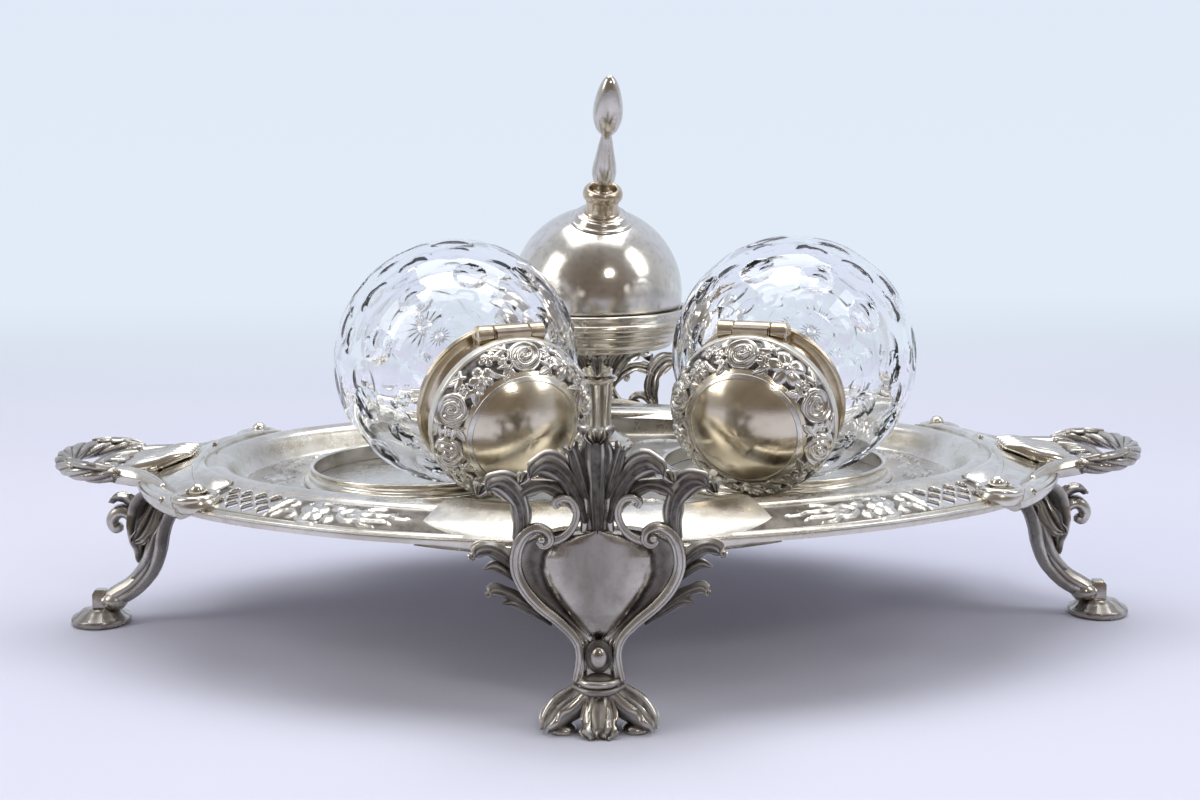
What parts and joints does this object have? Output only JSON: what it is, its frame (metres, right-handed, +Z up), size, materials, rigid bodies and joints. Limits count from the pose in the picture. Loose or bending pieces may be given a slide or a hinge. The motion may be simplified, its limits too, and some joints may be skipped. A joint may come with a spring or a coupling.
{
  "type": "desk inkstand",
  "caption": "Footed silver-plated desk inkstand: pierced oval tray, lying cut-glass ball inkwells with hinged lids, and a hand bell on a column dish.",
  "frame": {"origin": "on the table under the middle of the tray, at the bottom centre of the bounding box", "axes": "+X to the right along the length of the tray, +Z up, the side with the inkwell lids faces -Y"},
  "size_m": [0.3452, 0.2166, 0.1746],
  "materials": {
    "tray_silver": "satin worn silver plate, dark in the chasing",
    "plate_silver": "polished silver plate with light tarnish",
    "cast_silver": "cast silver plate, oxidised in the recesses",
    "chased_silver": "embossed silver plate, oxidised in the recesses",
    "steel": "plain fastener metal",
    "crystal": "clear cut crystal"
  },
  "bodies": {
    "stand": {"tray": "tray_silver", "left_well_ring": "plate_silver", "right_well_ring": "plate_silver", "front_leg": "cast_silver", "back_leg": "cast_silver", "left_leg": "cast_silver", "right_leg": "cast_silver", "left_shoulder": "cast_silver", "right_shoulder": "cast_silver", "left_handle": "cast_silver", "right_handle": "cast_silver", "leg_screws": "steel", "column_base": "plate_silver", "column_shaft": "plate_silver", "column_knop": "plate_silver", "column_leaves": "cast_silver", "bell_dish": "plate_silver", "dish_rim": "plate_silver", "column_rod": "steel", "column_nut": "steel"},
    "left_inkwell": {"left_glass_ball": "crystal", "left_neck_mount": "plate_silver", "left_hinge_block": "plate_silver", "left_hinge_pin": "steel"},
    "left_lid": {"left_lid_rim": "plate_silver", "left_lid_band": "chased_silver", "left_lid_dome": "plate_silver", "left_lid_knuckle": "plate_silver"},
    "right_inkwell": {"right_glass_ball": "crystal", "right_neck_mount": "plate_silver", "right_hinge_block": "plate_silver", "right_hinge_pin": "steel"},
    "right_lid": {"right_lid_rim": "plate_silver", "right_lid_band": "chased_silver", "right_lid_dome": "plate_silver", "right_lid_knuckle": "plate_silver"},
    "bell": {"bell_dome": "plate_silver", "bell_flange": "plate_silver", "bell_collar": "plate_silver", "bell_handle": "plate_silver", "bell_stem_nut": "steel", "clapper_eye": "steel"},
    "clapper": {"clapper_rod": "steel", "clapper_ball": "plate_silver"}
  },
  "joints": [
    {"name": "left_inkwell_roll", "type": "hinge", "parent": "stand", "child": "left_inkwell", "pos_m": [-0.044, -0.008, 0.0856], "axis": [-0.8988, -0.4384, 0], "range_deg": [0, 105]},
    {"name": "left_lid_hinge", "type": "hinge", "parent": "left_inkwell", "child": "left_lid", "pos_m": [-0.02544, -0.04605, 0.0991], "axis": [-0.8988, -0.4384, 0], "range_deg": [0, 100]},
    {"name": "right_inkwell_roll", "type": "hinge", "parent": "stand", "child": "right_inkwell", "pos_m": [0.062, -0.006, 0.0856], "axis": [-0.9272, 0.3746, 0], "range_deg": [0, 105]},
    {"name": "right_lid_hinge", "type": "hinge", "parent": "right_inkwell", "child": "right_lid", "pos_m": [0.04614, -0.04525, 0.0991], "axis": [-0.9272, 0.3746, 0], "range_deg": [0, 100]},
    {"name": "bell_lift", "type": "slide", "parent": "stand", "child": "bell", "axis": [0, 0, 1], "range_m": [0, 0.06]},
    {"name": "clapper_swing", "type": "hinge", "parent": "bell", "child": "clapper", "pos_m": [0.00135, 0.04021, 0.12014], "axis": [0.9976, 0, -0.0698], "range_deg": [-14, 58]}
  ]
}
